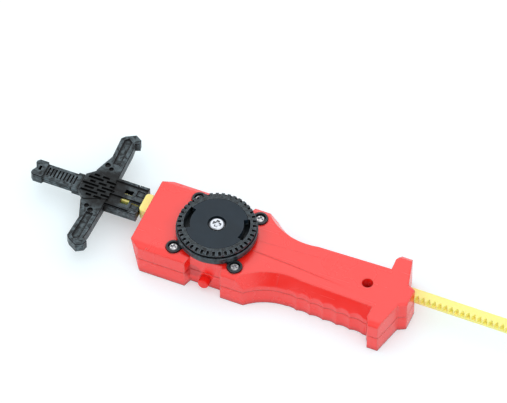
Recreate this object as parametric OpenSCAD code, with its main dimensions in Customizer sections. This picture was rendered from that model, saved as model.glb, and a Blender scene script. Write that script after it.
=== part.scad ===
// Sword-shaped spinning top launcher.
// A toothed blade slides through a two-shell body and turns a round driver on its top face.
// The origin is on the driver's axis, at the flat face that the body lies on.
// X runs along the body to its butt, Y across it, Z up to the driver.

/* [Body] */
// Height of the closed body
body_h = 20.5; // [20:0.25:22]
// Wall of both shells
wall = 2; // [1.8:0.1:2.3]
// Nose, measured from the driver axis
nose_len = 40; // [38:0.5:46]
// How far the nose runs back at its foot
nose_rake = 6; // [4:0.5:7]
// Half the width of the nose
nose_half = 20.5; // [19:0.5:22]
// Length of the cut corner beside the nose
corner_len = 5.5; // [4:0.5:7]
// Half the width of the head
head_half = 24; // [23.5:0.25:26]
// Where the head's parallel sides end
shoulder_x = 24.7; // [24:0.5:27]
// Where the neck has run out into the grip
neck_x = 42; // [38:1:46]
// Half the width of the grip at the neck
grip_half = 16; // [15.5:0.25:18]
// Half the width of the grip at the butt
grip_end_half = 17.5; // [16.5:0.25:19]
// Where the grip ends at the butt lugs
grip_end_x = 91; // [90:0.5:97]
// Finger scallops along each side of the grip
scallops = 6; // [4:1:8]
// Depth of a finger scallop
scallop_depth = 0.8; // [0.4:0.1:1]

/* [Bevels] */
// Width of the head's top bevel
head_bevel_w = 3.3; // [2.5:0.1:3.8]
// Height of the head's top bevel
head_bevel_h = 1.8; // [1.2:0.1:2.4]
// Width of the grip's top bevel
grip_bevel_w = 4.3; // [3.5:0.1:5]
// Height of the grip's top bevel
grip_bevel_h = 7.3; // [5:0.1:7.6]
// Width of the bevel on the butt lugs
lug_bevel_w = 2.6; // [2:0.1:4]
// Height of the bevel on the butt lugs
lug_bevel_h = 1.9; // [1.4:0.1:3]
// Small bevel on the notches, the lugs and the button
edge_bevel = 0.7; // [0.4:0.1:1]
// Depth and height of the groove along the parting line
seam = 0.2; // [0.15:0.05:0.3]

/* [Side notches] */
// Front edge of the notch, ahead of the driver axis
notch_front = 8.5; // [8:0.25:9.5]
// How far the front wall of the notch slants
notch_slant = 1.7; // [1:0.1:2.2]
// Rear edge of the notch
notch_rear = 11; // [10:0.25:12]
// Half the width of the head between the notches
notch_half = 19.5; // [19.3:0.1:20.5]

/* [Butt] */
// Distance over one swept side lug, from the axis
lug_half = 24.4; // [22:0.2:27]
// Sweep of the lug's front edge
lug_sweep = 3; // [2:0.5:6]
// Length of the lug's end edge
lug_tip_len = 6; // [4.4:0.2:7]
// Sweep of the end face from lug to middle
lug_back_sweep = 4.4; // [3:0.2:6]
// Half the width of the middle lug at its root
mid_lug_half = 7.8; // [7:0.2:9]
// How far the middle lug stands out
mid_lug_len = 4.2; // [3:0.2:6]
// Half the width of the middle lug's end
mid_lug_end_half = 5.5; // [4.5:0.1:6.5]
// Deep screw hole near the butt, from the driver axis
grip_hole_x = 84.4; // [82:0.2:86]
// Radius of that hole
grip_hole_r = 3; // [2.9:0.05:3.2]

/* [Blade and gear] */
// Gear module of blade and pinion
gear_module = 1; // [0.98:0.01:1.02]
// Teeth on the pinion
pinion_teeth = 12; // [12:1:12]
// Height of the blade
blade_h = 4; // [3.5:0.25:4.5]
// How far the blade's foot lies under the parting line
blade_drop = 0.5; // [0.25:0.25:1]
// Depth of the blade behind its teeth
blade_back = 4.25; // [3.75:0.25:4.75]
// Where the blade ends behind the driver axis
blade_end_x = 180; // [150:1:190]
// Length of the stop shoulder in front of the nose
shoulder_len = 7.2; // [5:0.2:9]
// Half the width of the stop shoulder
shoulder_half = 6; // [5.5:0.25:7]
// Height of the stop shoulder
shoulder_h = 6.5; // [6:0.25:7]

/* [Driver] */
// Radius of the round driver
driver_r = 21.5; // [21.2:0.1:22]
// Height of the driver's rim
rim_h = 6.6; // [6.4:0.1:7.2]
// Radius of the smooth face inside the rim
face_r = 16.3; // [16:0.1:16.8]
// Thickness of the face plate
face_t = 3.3; // [3:0.1:3.6]
// Inner radius of the two curved slots in the face
slot_r = 14; // [13.6:0.1:14.4]
// Radial width of the curved slots
slot_w = 3.5; // [2.5:0.1:3.9]
// Angle that each slot covers
slot_sweep = 50; // [30:2:60]
// Notches round the rim
rim_notches = 40; // [24:4:44]
// Radius of the middle recess
recess_r = 5; // [4.6:0.1:5.2]
// Depth of the middle recess
recess_t = 1.4; // [1.2:0.05:1.5]
// Corner screws of the turntable base, from the axis each way
corner_off = 17.2; // [17:0.1:17.4]
// Radius of a screw ear
ear_r = 3.9; // [3.7:0.05:4]

/* [Hilt] */
// Thickness of the hilt
hilt_t = 6; // [5.6:0.1:6.4]
// Length of the blade socket in front of the guard
socket_len = 19; // [17:0.5:22]
// Half the width of the blade socket
socket_half = 9.75; // [9:0.25:11]
// Reach of each guard arm from the hilt's axis
arm_reach = 40; // [34:1:46]
// Width of a guard arm
arm_w = 9; // [8.5:0.25:10]
// Length of the handle behind the guard
handle_len = 29; // [26:0.5:33]
// Half the width of the handle
handle_half = 4.5; // [4.25:0.25:5.5]
// Length of the pommel
pommel_len = 7; // [6:0.5:10]
// Half the width of the pommel
pommel_half = 5.5; // [5:0.25:7]
// Cross slots in the handle panel
handle_slots = 9; // [6:1:10]

/* [Button] */
// Radius of the side button
button_r = 2.9; // [2.7:0.05:2.95]
// How far the button stands out of the notch wall
button_out = 4.5; // [4:0.1:5]
// Travel of the button
button_travel = 2; // [1:0.25:2.25]
// Place of the button behind the driver axis
button_x = 1.8; // [1.4:0.2:3]

/* [Hidden] */
$fn = 64;

// Clearances and overrun
slide_gap = 0.3;
turn_gap = 0.05;
seat_gap = 0.1;
cut = 1;

// Colours
red = "#e8413a";
black = "#2c3035";
yellow = "#f2d94e";
steel = "#c9ccd0";
ivory = "#e9e4d6";

// Parting line at half height
split_z = body_h / 2;

// Gear sizes
pressure_angle = 25;
tooth_pitch = PI * gear_module;
pitch_r = pinion_teeth * gear_module / 2;
tip_h = gear_module;
root_h = gear_module * 1.25;
backlash = gear_module * 0.1;
pinion_r = pitch_r + tip_h;
blade_z = split_z - blade_drop;
blade_top_z = blade_z + blade_h;
hilt_mid_z = blade_z + blade_h / 2;
shoulder_z = hilt_mid_z - shoulder_h / 2;
blade_front_y = pitch_r - tip_h;
blade_root_y = pitch_r + root_h;
blade_back_y = blade_root_y + blade_back;
blade_mid_y = (blade_front_y + blade_back_y) / 2;
web_t = blade_h * 0.35;
blade_bevel = blade_h / 10;

// Stop shoulder and hilt places along X
function nose_x(z) = -(nose_len - nose_rake * (1 - z / body_h));
shoulder_x1 = nose_x(shoulder_z + shoulder_h) - slide_gap;
hilt_x = shoulder_x1 - shoulder_len;

// Shaft train, from the floor up
shaft_r = 2.5;
bush_wall = 1.5;
brake_r = 7.6;
brake_t = 4;
brake_top_z = blade_z - slide_gap * 3;
brake_z = brake_top_z - brake_t;
bush_r = shaft_r + bush_wall;
bush_flange_r = bush_r + bush_wall / 2;
bush_flange_t = 0.8;
pinion_z = blade_z + web_t + slide_gap;
pinion_top_z = blade_top_z + slide_gap * 3;
hub_r = blade_front_y - slide_gap * 2;
shaft_z = wall + seat_gap;

// Turntable base, in a pit of the top face
plate_t = 2;
skirt_t = 1.1;
pit_z = body_h - plate_t;
pit_gap = 0.2;
plate_r = notch_half - wall / 2 - pit_gap;
skirt_inset = 0.9;
skirt_r = driver_r - skirt_inset;
skirt_z = body_h + skirt_t;
web_half = ear_r * 0.72;
ear_top = 1;
screw_seat = 1.2;

// Driver, from its foot up
rim_z = skirt_z + slide_gap;
face_z = rim_z + rim_h - face_t;
driver_top_z = rim_z + rim_h;
ratchet_z = skirt_z + bush_flange_t + slide_gap;
ratchet_top_z = face_z - slide_gap;
shaft_top_z = driver_top_z - recess_t + turn_gap;
ratchet_r = 9;
ratchet_depth = 1.4;
ratchet_lead = 2;
pawl_gap = 0.16;
pawl_t = 0.8;
pawl_ring_r = 14.2;
pawl_ring_t = 1.9;
ledge_r = pawl_ring_r + slide_gap * 2;
ledge_t = 1.2;
rim_wall = 2.2;
slot_turn = 7;
rim_notch_w = 1.5;
rim_notch_l = 2.1;
rim_notch_t = 1.3;
rim_groove = 0.35;
crown_inset = 0.8;
waist_inset = 1.8;
waist_z = rim_z + rim_h * 0.56;
crown_z = rim_z + rim_h * 0.7;

// Screws
screw_r = 1.3;
screw_head_r = 2.7;
screw_head_h = 1.5;
screw_pilot = turn_gap;
screw_way_r = screw_r + slide_gap;
boss_r = 3.2;
screw_end_z = wall * 2;
driver_screw_head_r = 3.8;
driver_screw_head_h = 0.9;
driver_washer_t = 0.35;
grip_screw_seat_z = split_z + wall;
grip_boss_r = 4.2;

// Button
button_z = split_z * 0.54;
collar_r = button_r + slide_gap * 1.2;
collar_t = 1;
stem_r = 1.8;
notch_wall_y = notch_half - wall;
collar_y = notch_wall_y - slide_gap;
brake_reach = sqrt(pow(brake_r, 2) - pow(max(0, button_x - stem_r), 2));
stem_tip_y = brake_reach + slide_gap + button_travel;
seat_t = 1.4;
seat_y = stem_tip_y + wall * 0.6;
spring_y = seat_y + seat_t;
spring_l = collar_y - collar_t - spring_y;
spring_wire_r = 0.22;
spring_r = stem_r + slide_gap + spring_wire_r;
spring_turns = 3;

// Ribs inside the shells, by their place along the body
rib_t = 1.6;
grip_ribs = [for (share = [0.12, 0.42, 0.7]) neck_x + (grip_end_x - neck_x) * share];

// Raised panel on the grip, as shares of the grip's half width
panel_shares = [0.19, 0.26, 0.49];
panel_x = [shoulder_x - wall * 3, neck_x, grip_end_x + lug_sweep];
panel_t = 0.35;

// Guard arm outline: width shares from the socket end, reach shares from the hilt's axis
arm_shares = [
    [0.01, 0], [0.01, 0.28], [0.055, 0.73], [0.12, 0.85], [-0.155, 0.875], [-0.08, 0.945],
    [0.33, 1], [0.89, 0.93], [1.08, 0.88], [1, 0.545], [1.44, 0.27], [1.44, 0]
];
arm_channel_shares = [[0.34, 0.44], [0.72, 0.44], [0.8, 0.86], [0.62, 0.9], [0.36, 0.86]];
// Round pockets at the arms' roots: width share, reach share and radius as a share of the wall
arm_pocket_shares = [[0.66, 0.34, 0.65], [0.97, 0.385, 0.8], [0.59, -0.39, 0.8], [0.92, -0.34, 0.7]];

// Raised plate over the guard: width shares and reach shares
guard_shares = [[-0.15, 0.14], [-0.15, -0.14], [1.2, -0.25], [1.75, -0.14], [1.75, 0.14], [1.2, 0.25]];

// Grooves over the guard: reach share, then both ends as width shares
groove_shares = [
    [0.17, 0.3, 0.75], [0.17, 0.95, 1.3], [0.115, -0.2, 0.4], [0.115, 0.6, 1.55],
    [0.055, -0.75, 0.1], [0.055, 0.3, 0.8], [0.055, 1, 1.35], [0, -0.3, 0.5], [0, 0.7, 1.8],
    [-0.055, -0.9, -0.1], [-0.055, 0.15, 0.7], [-0.055, 0.9, 1.5], [-0.115, -0.35, 0.35],
    [-0.115, 0.55, 1.65], [-0.17, 0.2, 0.7], [-0.17, 0.85, 1.2]
];

// Windows and dips in the socket: both ends as socket length shares, then both edges as width shares
window_shares = [0.36, 0.6, 0.15, 0.49];
dip_shares = [0.05, 0.28, 0.25, 0.65];
rail_hole_shares = [0.3, 0.92];
rail_slot_shares = [0.25, 0.98, -0.95, -0.85];

// Panel in the handle and hole in the pommel, as length shares and a width share
handle_panel_shares = [0.25, 0.62];
pommel_hole_shares = [0.38, 0.6, 0.28];

// Outline helpers
function flip(p) = [p.x, -p.y];
function closed(half) = concat(
    [for (p = half) flip(p)], [for (i = [len(half) - 1:-1:0]) half[i]]
);

// Places along the butt
lug_x = grip_end_x + lug_sweep;
lug_tip_x = lug_x + lug_tip_len;
mid_x = lug_tip_x + lug_back_sweep;
butt_x = mid_x + mid_lug_len;
mid_lug_turn = atan((mid_lug_half - mid_lug_end_half) / mid_lug_len);

// Neck arc: a circle outside the body through the shoulder and the start of the grip
neck_r = 30;
neck_dip = 0.15;
neck_run = wall * 6;
neck_chord = [neck_x - shoulder_x, grip_half - neck_dip - head_half];
neck_rise = sqrt(pow(neck_r, 2) - pow(norm(neck_chord) / 2, 2)) / norm(neck_chord);
neck_centre = [
    (neck_x + shoulder_x) / 2 - neck_chord.y * neck_rise,
    (head_half + grip_half - neck_dip) / 2 + neck_chord.x * neck_rise
];
grip_taper = atan((grip_end_half - grip_half) / (grip_end_x - neck_x));

// Scallop arcs along the grip
scallop_x0 = neck_x + wall;
scallop_pitch = (grip_end_x - wall - scallop_x0) / scallops;
scallop_r = pow(scallop_pitch, 2) / scallop_depth / 8 + scallop_depth / 2;

// Plan of the body, nose to butt
head_plan = closed([
    [-nose_len, nose_half], [-nose_len + corner_len, head_half], [neck_x, head_half]
]);
grip_plan = closed([[shoulder_x, grip_half], [neck_x, grip_half], [grip_end_x, grip_end_half]]);
butt_plan = closed([
    [grip_end_x, grip_end_half], [lug_x, lug_half], [lug_tip_x, lug_half],
    [mid_x, mid_lug_half], [butt_x, mid_lug_end_half]
]);
notch_plan = [
    [-notch_front, head_half + cut], [-notch_front, head_half], [-notch_front + notch_slant, notch_half],
    [notch_rear, notch_half], [notch_rear + edge_bevel, head_half], [notch_rear + edge_bevel, head_half + cut]
];

module bore(r, z0, z1) {
    translate([0, 0, z0]) cylinder(r = r, h = z1 - z0);
}

module box(low, high) {
    translate(low) cube(high - low);
}

module corners() {
    for (x = [-corner_off, corner_off], y = [-corner_off, corner_off]) translate([x, y, 0]) children();
}

// Way through the body for the blade
module blade_way(x0, x1) {
    box([x0, blade_front_y - slide_gap, blade_z - slide_gap],
        [x1, blade_back_y + slide_gap, blade_top_z + slide_gap]);
}

// Both sides of something drawn on the +Y side
module sides() {
    for (m = [0, 1]) mirror([0, m, 0]) children();
}

// Concave arc between head and grip, grown by a wall where it bounds the inside
module neck_circle(grow) {
    intersection() {
        translate(neck_centre) circle(r = neck_r + grow, $fn = 180);
        translate([-nose_len, 0]) square([nose_len + neck_x + neck_run, neck_centre.y]);
    }
}

module straight_plan() {
    polygon(head_plan);
    polygon(grip_plan);
    polygon(butt_plan);
}

// Plan of the body, drawn in by an inset
module body_plan(inset) {
    difference() {
        if (inset > 0) offset(delta = -inset) straight_plan();
        else straight_plan();
        sides() {
            neck_circle(inset);
            if (inset > 0) offset(delta = inset) polygon(notch_plan);
            else polygon(notch_plan);
            for (i = [0.5:scallops])
                translate([neck_x, grip_half]) rotate(grip_taper)
                    translate([wall + i * scallop_pitch, scallop_r - scallop_depth])
                        circle(r = scallop_r + inset, $fn = 90);
        }
    }
}

// Wedge along X above a bevel of width w and height h, from the wall line at y = 0 inwards
module bevel_wedge(w, h, l) {
    over = 0.3;
    rotate([90, 0, 90]) linear_extrude(l) polygon([
        [w * over, body_h - h * (1 + over)], [-w * (1 + over), body_h + h * over],
        [w * 3, body_h + h * over], [w * 3, body_h - h * (1 + over)]
    ]);
}

module bevel_cuts() {
    sides() {
        translate([-nose_len - cut, head_half, 0]) bevel_wedge(head_bevel_w, head_bevel_h, nose_len + neck_x);
        translate([neck_x, grip_half, 0]) rotate(grip_taper) translate([-wall, 0, 0])
            bevel_wedge(grip_bevel_w, grip_bevel_h, grip_end_x - neck_x + wall * 1.7);
        translate([grip_end_x + lug_sweep / 2, lug_half, 0])
            bevel_wedge(lug_bevel_w, lug_bevel_h, mid_x - grip_end_x);
        translate([mid_x, mid_lug_half, 0]) rotate(-mid_lug_turn)
            bevel_wedge(lug_bevel_w / 2, lug_bevel_h / 2, mid_lug_len * 1.5);
        neck_cone(0);
    }
}

// Cone that carries the grip's bevel round the neck
module neck_cone(grow) {
    low = body_h - grip_bevel_h;
    r = neck_r + grow;
    intersection() {
        translate([neck_centre.x, neck_centre.y, low])
            cylinder(r1 = r, r2 = r + grip_bevel_w * 2, h = grip_bevel_h * 2, $fn = 180);
        box([-nose_len, 0, low], [neck_x + neck_run, neck_centre.y, body_h + grip_bevel_h]);
    }
}

// Everything ahead of the raked nose
module nose_cut() {
    rotate([90, 0, 0]) linear_extrude(head_half * 3, center = true) polygon([
        [nose_x(-cut), -cut], [nose_x(body_h + cut), body_h + cut],
        [-nose_len * 1.5, body_h + cut], [-nose_len * 1.5, -cut]
    ]);
}

// Inside of head and neck
module head_cavity_plan() {
    half = head_half - wall;
    difference() {
        polygon(closed([
            [nose_x(0) + wall, nose_half - wall * 2], [nose_x(0) + corner_len, half],
            [-notch_front - wall, half], [-notch_front - wall / 2, notch_half - wall],
            [notch_rear + wall, notch_half - wall], [notch_rear + wall + edge_bevel, half],
            [neck_x, half], [neck_x, grip_half - wall]
        ]));
        sides() neck_circle(wall);
    }
}

grip_cavity_half = grip_half - wall - scallop_depth;
grip_cavity_x1 = grip_end_x - wall;

// Inside of the grip, with its roof under the bevels
module grip_cavity(z0, z1) {
    knee = body_h - grip_bevel_h - wall / 2;
    roof = grip_half - grip_bevel_w - wall;
    translate([shoulder_x + wall * 2, 0, 0]) rotate([90, 0, 90])
        linear_extrude(grip_cavity_x1 - shoulder_x - wall * 2) polygon([
            [-grip_cavity_half, z0], [grip_cavity_half, z0], [grip_cavity_half, min(knee, z1)],
            [z1 > knee ? roof : grip_cavity_half, z1], [z1 > knee ? -roof : -grip_cavity_half, z1],
            [-grip_cavity_half, min(knee, z1)]
        ]);
}

// Cross ribs and a back rail that guide the blade; the ribs' ends run into the walls
module guides(z0, z1, knee) {
    nose_rib_x = -nose_len * 0.73;
    difference() {
        union() {
            box([nose_rib_x - rib_t, -head_half + wall / 2, z0], [nose_rib_x, head_half - wall / 2, z1]);
            for (x = grip_ribs) translate([x, 0, 0]) rotate([90, 0, 90]) linear_extrude(rib_t) polygon([
                [-grip_cavity_half - wall / 2, z0], [grip_cavity_half + wall / 2, z0],
                [grip_cavity_half + wall / 2, knee], [grip_half - grip_bevel_w - wall / 2, z1],
                [-grip_half + grip_bevel_w + wall / 2, z1], [-grip_cavity_half - wall / 2, knee]
            ]);
            box([-corner_off, blade_back_y + slide_gap, z0],
                [corner_off, blade_back_y + slide_gap + rib_t, z1]);
        }
        blade_way(-nose_len, mid_x);
    }
}

// Axis of the side button, with the inside of the body towards +Z
module on_button_axis(y) {
    translate([button_x, -y, button_z]) rotate([-90, 0, 0]) children();
}

module lower_shell() {
    color(red) difference() {
        union() {
            difference() {
                union() {
                    linear_extrude(split_z - seam) body_plan(0);
                    linear_extrude(split_z) body_plan(seam);
                }
                nose_cut();
                translate([0, 0, wall]) linear_extrude(body_h) head_cavity_plan();
                grip_cavity(wall, split_z + cut);
            }
            guides(wall / 2, split_z, split_z);
            corners() bore(boss_r, wall / 2, split_z);
            bore(bush_r + turn_gap + bush_wall, wall / 2, brake_z - slide_gap);
            translate([grip_hole_x, 0, 0]) bore(grip_boss_r, wall / 2, split_z);
            box([button_x - button_r, -seat_y - seat_t, wall / 2],
                [button_x + button_r, -seat_y, button_z + button_r]);
        }
        bore(bush_r + turn_gap, wall, split_z);
        corners() bore(screw_r + screw_pilot, screw_end_z - cut, split_z + cut);
        translate([grip_hole_x, 0, 0]) bore(screw_r + screw_pilot, screw_end_z - cut, split_z + cut);
        blade_way(-nose_len - cut, nose_x(0) + wall * 1.5);
        blade_way(grip_cavity_x1 - cut, butt_x + cut);
        on_button_axis(notch_half + cut) cylinder(r = button_r + turn_gap, h = wall + cut * 2);
        on_button_axis(spring_y + cut) cylinder(r = stem_r + turn_gap, h = seat_t + cut * 2);
    }
}

// Outline of the turntable base in its pit
module pit_outline(gap) {
    circle(r = min(plate_r + gap, notch_half - wall / 4));
    for (a = [45, 135])
        rotate(a) square([corner_off * sqrt(2) * 2, (web_half + gap) * 2], center = true);
    for (x = [-corner_off, corner_off], y = [-corner_off, corner_off])
        translate([x, y]) circle(r = ear_r + gap);
}

module upper_shell() {
    color(red) difference() {
        union() {
            difference() {
                union() {
                    translate([0, 0, split_z]) linear_extrude(body_h - split_z) body_plan(seam);
                    translate([0, 0, split_z + seam]) linear_extrude(body_h - split_z - seam) body_plan(0);
                }
                nose_cut();
                bevel_cuts();
                difference() {
                    linear_extrude(body_h - wall) head_cavity_plan();
                    sides() neck_cone(wall);
                }
                grip_cavity(split_z - cut, body_h - wall);
            }
            grip_panel();
            guides(split_z, body_h - wall / 2, body_h - grip_bevel_h - wall / 2);
            corners() bore(boss_r, split_z, pit_z);
            translate([0, 0, pit_z - wall]) linear_extrude(wall) pit_outline(wall * 0.8);
            translate([grip_hole_x, 0, 0]) bore(grip_boss_r, split_z, body_h - wall / 2);
        }
        translate([0, 0, pit_z]) linear_extrude(wall * 2 + cut) pit_outline(pit_gap);
        bore(bush_r + slide_gap, split_z, body_h);
        corners() bore(screw_way_r, split_z - cut, body_h);
        translate([grip_hole_x, 0, 0]) {
            bore(screw_way_r, split_z - cut, body_h);
            bore(grip_hole_r, grip_screw_seat_z, body_h + cut);
        }
        blade_way(-nose_len - cut, nose_x(0) + wall * 1.5);
        blade_way(grip_cavity_x1 - cut, butt_x + cut);
    }
}

// Raised panel that widens towards the butt and runs out there
module grip_panel() {
    half = [for (i = [0:len(panel_x) - 1]) [panel_x[i], grip_end_half * panel_shares[i]]];
    intersection() {
        translate([0, 0, body_h - wall / 2]) linear_extrude(panel_t + wall / 2) polygon(closed(half));
        rotate([90, 0, 0]) linear_extrude(grip_end_half * 2, center = true) polygon([
            [0, 0], [0, body_h + panel_t * 2], [neck_x, body_h + panel_t], [panel_x[2], body_h - seat_gap],
            [panel_x[2], 0]
        ]);
    }
}

module turntable_base() {
    color(black) difference() {
        union() {
            translate([0, 0, pit_z]) linear_extrude(plate_t) pit_outline(0);
            bore(skirt_r, body_h + turn_gap, skirt_z);
            corners() bore(ear_r, pit_z, body_h + ear_top);
        }
        bore(bush_r + turn_gap, pit_z - cut, skirt_z + cut);
        corners() {
            bore(screw_way_r, pit_z - cut, skirt_z);
            bore(screw_head_r + slide_gap, body_h - screw_seat, body_h + ear_top + cut);
        }
    }
}

// Screw with a bevelled head and a cross recess; the head's underside is at the origin
module screw(head_r, head_h, shank_r, shank_l) {
    rim = head_h * 0.35;
    slot = head_r * 0.24;
    difference() {
        union() {
            rotate_extrude() polygon([
                [0, 0], [head_r, 0], [head_r, head_h - rim * 1.6], [head_r - rim * 1.6, head_h], [0, head_h]
            ]);
            translate([0, 0, -shank_l]) cylinder(r = shank_r, h = shank_l);
        }
        for (a = [0, 90])
            rotate(a) translate([-head_r * 0.6, -slot, head_h - rim * 1.6])
                cube([head_r * 1.2, slot * 2, head_h]);
    }
}

module corner_screws() {
    color(steel) corners() translate([0, 0, body_h - screw_seat])
        screw(screw_head_r, screw_head_h, screw_r, body_h - screw_seat - screw_end_z);
}

module grip_screw() {
    color(steel) translate([grip_hole_x, 0, grip_screw_seat_z])
        screw(grip_hole_r - slide_gap, screw_head_h, screw_r, grip_screw_seat_z - screw_end_z);
}

module lower_bush() {
    color(ivory) difference() {
        bore(bush_r, wall, brake_z - slide_gap);
        bore(shaft_r + turn_gap, wall - cut, brake_z);
    }
}

module upper_bush() {
    color(ivory) difference() {
        union() {
            bore(bush_r, pinion_top_z + slide_gap, skirt_z);
            bore(bush_flange_r, skirt_z, skirt_z + bush_flange_t);
        }
        bore(shaft_r + turn_gap, pinion_top_z, skirt_z + bush_flange_t + cut);
    }
}

module drive_shaft() {
    color(steel) difference() {
        bore(shaft_r, shaft_z, shaft_top_z);
        bore(screw_r + screw_pilot, split_z, shaft_top_z + cut);
    }
}

// Half the angle of an involute tooth at radius r
function involute(a) = tan(a) * 180 / PI - a;
function tooth_half_angle(r) =
    let (base_r = pitch_r * cos(pressure_angle),
        half = (tooth_pitch / 2 - backlash) / 2 / pitch_r * 180 / PI)
        half + involute(pressure_angle) - involute(acos(min(1, base_r / r)));
function polar(r, a) = [r * cos(a), r * sin(a)];
flank_steps = 5;
function flank_r(i) =
    let (base_r = pitch_r * cos(pressure_angle)) base_r + (pinion_r - base_r) * i / flank_steps;
function pinion_tooth(a) = concat(
    [polar(pitch_r - root_h, a - tooth_half_angle(flank_r(0)))],
    [for (i = [0:flank_steps]) polar(flank_r(i), a - tooth_half_angle(flank_r(i)))],
    [for (i = [flank_steps:-1:0]) polar(flank_r(i), a + tooth_half_angle(flank_r(i)))],
    [polar(pitch_r - root_h, a + tooth_half_angle(flank_r(0)))]
);

module pinion_gear() {
    step = 360 / pinion_teeth;
    color(ivory) difference() {
        union() {
            translate([0, 0, pinion_z]) linear_extrude(pinion_top_z - pinion_z)
                polygon([for (k = [0:pinion_teeth - 1]) each pinion_tooth(k * step)]);
            bore(hub_r, brake_z, pinion_top_z);
            bore(brake_r, brake_z, brake_top_z);
        }
        bore(shaft_r, brake_z - cut, pinion_top_z + cut);
    }
}

// Saw-toothed wheel; its steep faces lead when the blade is pulled
module ratchet_wheel() {
    step = 360 / pinion_teeth;
    color(ivory) translate([0, 0, ratchet_z]) linear_extrude(ratchet_top_z - ratchet_z) difference() {
        polygon([
            for (k = [0:pinion_teeth - 1])
                each [polar(ratchet_r, k * step), polar(ratchet_r - ratchet_depth, k * step + ratchet_lead)]
        ]);
        circle(r = shaft_r);
    }
}

// Ring in the driver with four sprung pawls lying in the wheel's gullets
module pawl_ring() {
    step = 360 / pinion_teeth;
    pawl_x = ratchet_r * cos(step) + pawl_gap;
    pawl_end = sqrt(pow(pawl_ring_r - pawl_ring_t / 2, 2) - pow(pawl_x + pawl_t, 2));
    color(black) translate([0, 0, ratchet_z]) linear_extrude(face_z - ratchet_z) {
        difference() {
            circle(r = pawl_ring_r);
            circle(r = pawl_ring_r - pawl_ring_t);
        }
        for (a = [0:90:270])
            rotate(a) translate([pawl_x, pawl_gap * 2.5]) square([pawl_t, pawl_end - pawl_gap * 2.5]);
    }
}

// Two curved slots that take a top's claws
module claw_slots() {
    reach = driver_r * 2;
    half = slot_sweep / 2;
    for (a = [0, 180])
        rotate(a + slot_turn) intersection() {
            difference() {
                circle(r = slot_r + slot_w);
                circle(r = slot_r);
            }
            polygon([[0, 0], polar(reach, -half), polar(reach, half)]);
        }
}

module driver_disc() {
    color(black) difference() {
        bore(face_r, face_z, driver_top_z);
        translate([0, 0, face_z - cut]) linear_extrude(face_t + cut * 2) claw_slots();
        bore(shaft_r + turn_gap, face_z - cut, driver_top_z);
        bore(recess_r, driver_top_z - recess_t, driver_top_z + cut);
    }
}

module driver_rim() {
    color(black) difference() {
        rotate_extrude($fn = 128) polygon([
            [driver_r - rim_wall, rim_z], [driver_r - rim_groove, rim_z], [driver_r, rim_z + rim_groove],
            [driver_r, waist_z - rim_groove], [driver_r - rim_groove, waist_z],
            [driver_r - waist_inset, waist_z], [driver_r - waist_inset, crown_z],
            [driver_r - crown_inset, crown_z], [driver_r - crown_inset, driver_top_z - rim_groove],
            [driver_r - crown_inset - rim_groove, driver_top_z],
            [face_r + slide_gap, driver_top_z], [face_r + slide_gap, face_z - seat_gap],
            [ledge_r, face_z - seat_gap], [ledge_r, face_z - ledge_t], [driver_r - rim_wall, face_z - ledge_t]
        ]);
        translate([0, 0, face_z - ledge_t - cut]) linear_extrude(face_t + ledge_t + cut * 2) claw_slots();
        for (i = [0:rim_notches - 1])
            rotate(i * 360 / rim_notches)
                box([driver_r - crown_inset - rim_notch_l, -rim_notch_w / 2, driver_top_z - rim_notch_t],
                    [driver_r, rim_notch_w / 2, driver_top_z + cut]);
    }
}

module centre_washer() {
    color(steel) difference() {
        bore(driver_screw_head_r + slide_gap, shaft_top_z, shaft_top_z + driver_washer_t);
        bore(screw_r + turn_gap, shaft_top_z - cut, driver_top_z);
    }
}

module centre_screw() {
    color(steel) translate([0, 0, shaft_top_z + driver_washer_t])
        screw(driver_screw_head_r, driver_screw_head_h, screw_r, shaft_top_z - split_z - wall);
}

// Straight rack: one tooth space faces the pinion at the driver axis
function rack_tooth(k) =
    let (x = (k + 0.5) * tooth_pitch,
        tip = tooth_pitch / 4 - tip_h * tan(pressure_angle) - backlash / 2,
        root = tooth_pitch / 4 + root_h * tan(pressure_angle) - backlash / 2)
        [[x - root, blade_root_y], [x - tip, blade_front_y], [x + tip, blade_front_y],
            [x + root, blade_root_y]];

module rack_blade() {
    tang_l = socket_len - wall;
    tang_t = hilt_t - wall * 1.25;
    tang_inset = wall / 2;
    point = blade_back;
    first = floor((shoulder_x1 + tooth_pitch) / tooth_pitch);
    last = floor((blade_end_x - point) / tooth_pitch) - 1;
    color(yellow) difference() {
        union() {
            translate([shoulder_x1, 0, 0]) rotate([90, 0, 90])
                linear_extrude(blade_end_x - point - shoulder_x1) polygon([
                    [blade_root_y - seat_gap, blade_z], [blade_back_y - blade_bevel, blade_z],
                    [blade_back_y, blade_z + blade_bevel], [blade_back_y, blade_top_z - blade_bevel],
                    [blade_back_y - blade_bevel, blade_top_z], [blade_root_y - seat_gap, blade_top_z]
                ]);
            translate([0, 0, blade_z]) linear_extrude(blade_h) for (k = [first:last]) polygon(rack_tooth(k));
            box([shoulder_x1, blade_front_y, blade_z], [blade_end_x - point, blade_root_y, blade_z + web_t]);
            translate([0, 0, blade_z]) linear_extrude(blade_h) polygon([
                [blade_end_x - point - cut, blade_front_y], [blade_end_x - point, blade_front_y],
                [blade_end_x, blade_root_y], [blade_end_x, blade_back_y - blade_bevel * 2],
                [blade_end_x - blade_bevel, blade_back_y - blade_bevel],
                [blade_end_x - point - cut, blade_back_y - blade_bevel]
            ]);
            stop_shoulder();
            box([hilt_x - tang_l, blade_front_y + tang_inset, hilt_mid_z - tang_t / 2],
                [hilt_x + wall, blade_back_y - tang_inset, hilt_mid_z + tang_t / 2]);
        }
        translate([hilt_x - peg_back, blade_mid_y, 0])
            bore(peg_r + turn_gap, shoulder_z, shoulder_z + shoulder_h);
    }
}

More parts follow.
